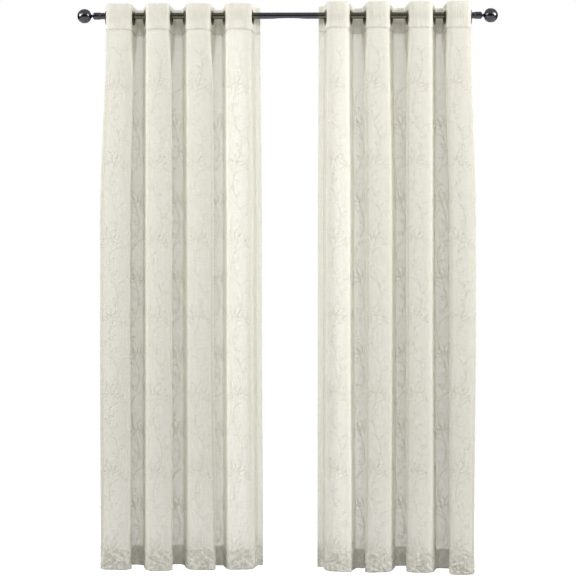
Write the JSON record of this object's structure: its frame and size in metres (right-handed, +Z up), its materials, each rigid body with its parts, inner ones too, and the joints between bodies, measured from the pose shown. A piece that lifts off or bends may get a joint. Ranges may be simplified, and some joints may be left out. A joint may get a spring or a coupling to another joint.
{
  "type": "sheer voile curtains on a rod",
  "caption": "Sheer voile curtain panels with eyelet headings and an embroidered vine, hanging in folds from a dark metal rod with ball finials.",
  "frame": {"origin": "on the rod's axis, half way between its ends", "axes": "+Z up, +X along the rod to the viewer's right, +Y towards the wall of the room"},
  "size_m": [1.598, 0.1406, 2.1558],
  "materials": {
    "voile": "sheer plain weave with tone-on-tone embroidery",
    "pewter": "dark polished pewter",
    "eyelet_metal": "dark satin metal"
  },
  "bodies": {
    "root": {"rod": "pewter", "collar_left": "pewter", "collar_right": "pewter", "ball_left": "pewter", "ball_right": "pewter", "heading_left": "voile", "heading_right": "voile", "panel_left": "voile", "panel_right": "voile", "eyelet_left_1": "eyelet_metal", "eyelet_left_2": "eyelet_metal", "eyelet_left_3": "eyelet_metal", "eyelet_left_4": "eyelet_metal", "eyelet_left_5": "eyelet_metal", "eyelet_left_6": "eyelet_metal", "eyelet_left_7": "eyelet_metal", "eyelet_left_8": "eyelet_metal", "eyelet_right_1": "eyelet_metal", "eyelet_right_2": "eyelet_metal", "eyelet_right_3": "eyelet_metal", "eyelet_right_4": "eyelet_metal", "eyelet_right_5": "eyelet_metal", "eyelet_right_6": "eyelet_metal", "eyelet_right_7": "eyelet_metal", "eyelet_right_8": "eyelet_metal"}
  },
  "joints": []
}
